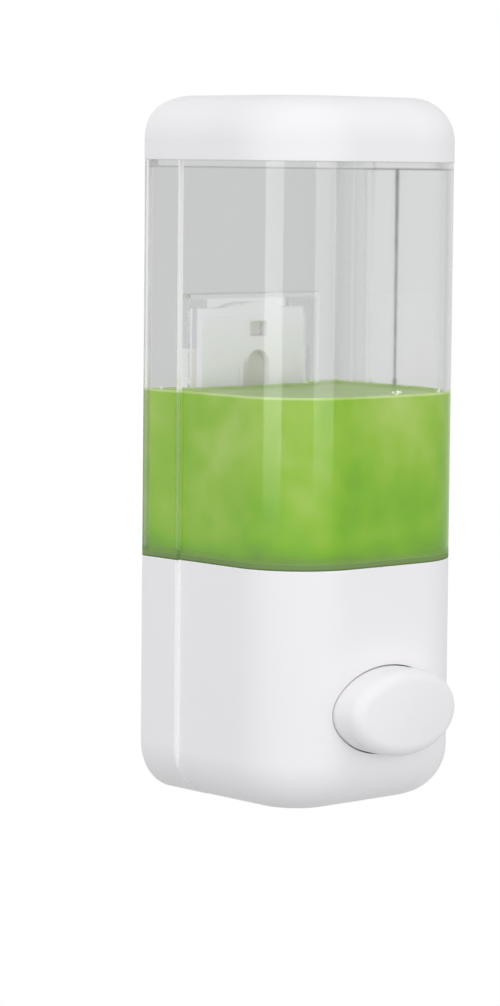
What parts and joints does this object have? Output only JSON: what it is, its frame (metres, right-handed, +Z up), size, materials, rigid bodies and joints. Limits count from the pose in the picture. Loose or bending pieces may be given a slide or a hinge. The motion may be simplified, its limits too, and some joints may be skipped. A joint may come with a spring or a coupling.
{
  "type": "wall mounted soap dispenser",
  "caption": "Wall mounted soap dispenser with a clear tank, a lift-off lid and a white base whose oval push button works a piston pump; it hangs on a screwed wall bracket.",
  "frame": {"origin": "middle of the wall bracket's two screw holes, on the wall plane", "axes": "+Z up, -Y out of the wall towards the user, +X to the user's right, with the wall in the plane Y = 0"},
  "size_m": [0.08, 0.0776, 0.21],
  "materials": {
    "white_plastic": "satin gloss moulded white",
    "clear_plastic": "clear, smooth",
    "soap": "green liquid",
    "bracket_plastic": "matt moulded white",
    "pump_plastic": "natural, matt",
    "seal_rubber": "matt black",
    "steel": "plain stainless"
  },
  "bodies": {
    "bracket": {"wall_bracket": "bracket_plastic"},
    "dispenser": {"tank": "clear_plastic", "soap_fill": "soap", "base_shell": "white_plastic", "back_cover": "white_plastic", "cover_screws": "steel", "tank_screws": "steel", "pump_cylinder": "pump_plastic", "cylinder_cap": "pump_plastic", "pump_screws": "steel", "inlet_o_ring": "seal_rubber", "inlet_seat": "pump_plastic", "outlet_spring": "steel", "nozzle": "pump_plastic", "nozzle_o_ring": "seal_rubber", "return_spring": "steel"},
    "lid": {"lid": "white_plastic"},
    "button": {"push_button": "white_plastic", "piston_rod": "pump_plastic", "piston": "pump_plastic", "piston_seal": "seal_rubber", "piston_screw": "steel"},
    "inlet_ball": {"inlet_ball": "steel"},
    "outlet_ball": {"outlet_ball": "steel"}
  },
  "joints": [
    {"name": "dispenser_lift", "type": "slide", "parent": "bracket", "child": "dispenser", "axis": [0, 0, 1], "range_m": [0, 0.015]},
    {"name": "lid_lift", "type": "slide", "parent": "dispenser", "child": "lid", "axis": [0, 0, 1], "range_m": [0, 0.03]},
    {"name": "button_press", "type": "slide", "parent": "dispenser", "child": "button", "axis": [0, 1, 0], "range_m": [0, 0.009], "stiffness_N_per_m": 400, "springref_m": -0.015, "deforming": ["return_spring"]},
    {"name": "inlet_ball_lift", "type": "slide", "parent": "dispenser", "child": "inlet_ball", "axis": [0, 0, 1], "range_m": [0, 0.0015]},
    {"name": "outlet_ball_drop", "type": "slide", "parent": "dispenser", "child": "outlet_ball", "axis": [0, 0, 1], "range_m": [-0.0015, 0], "stiffness_N_per_m": 100, "springref_m": 0.005, "deforming": ["outlet_spring"]}
  ]
}
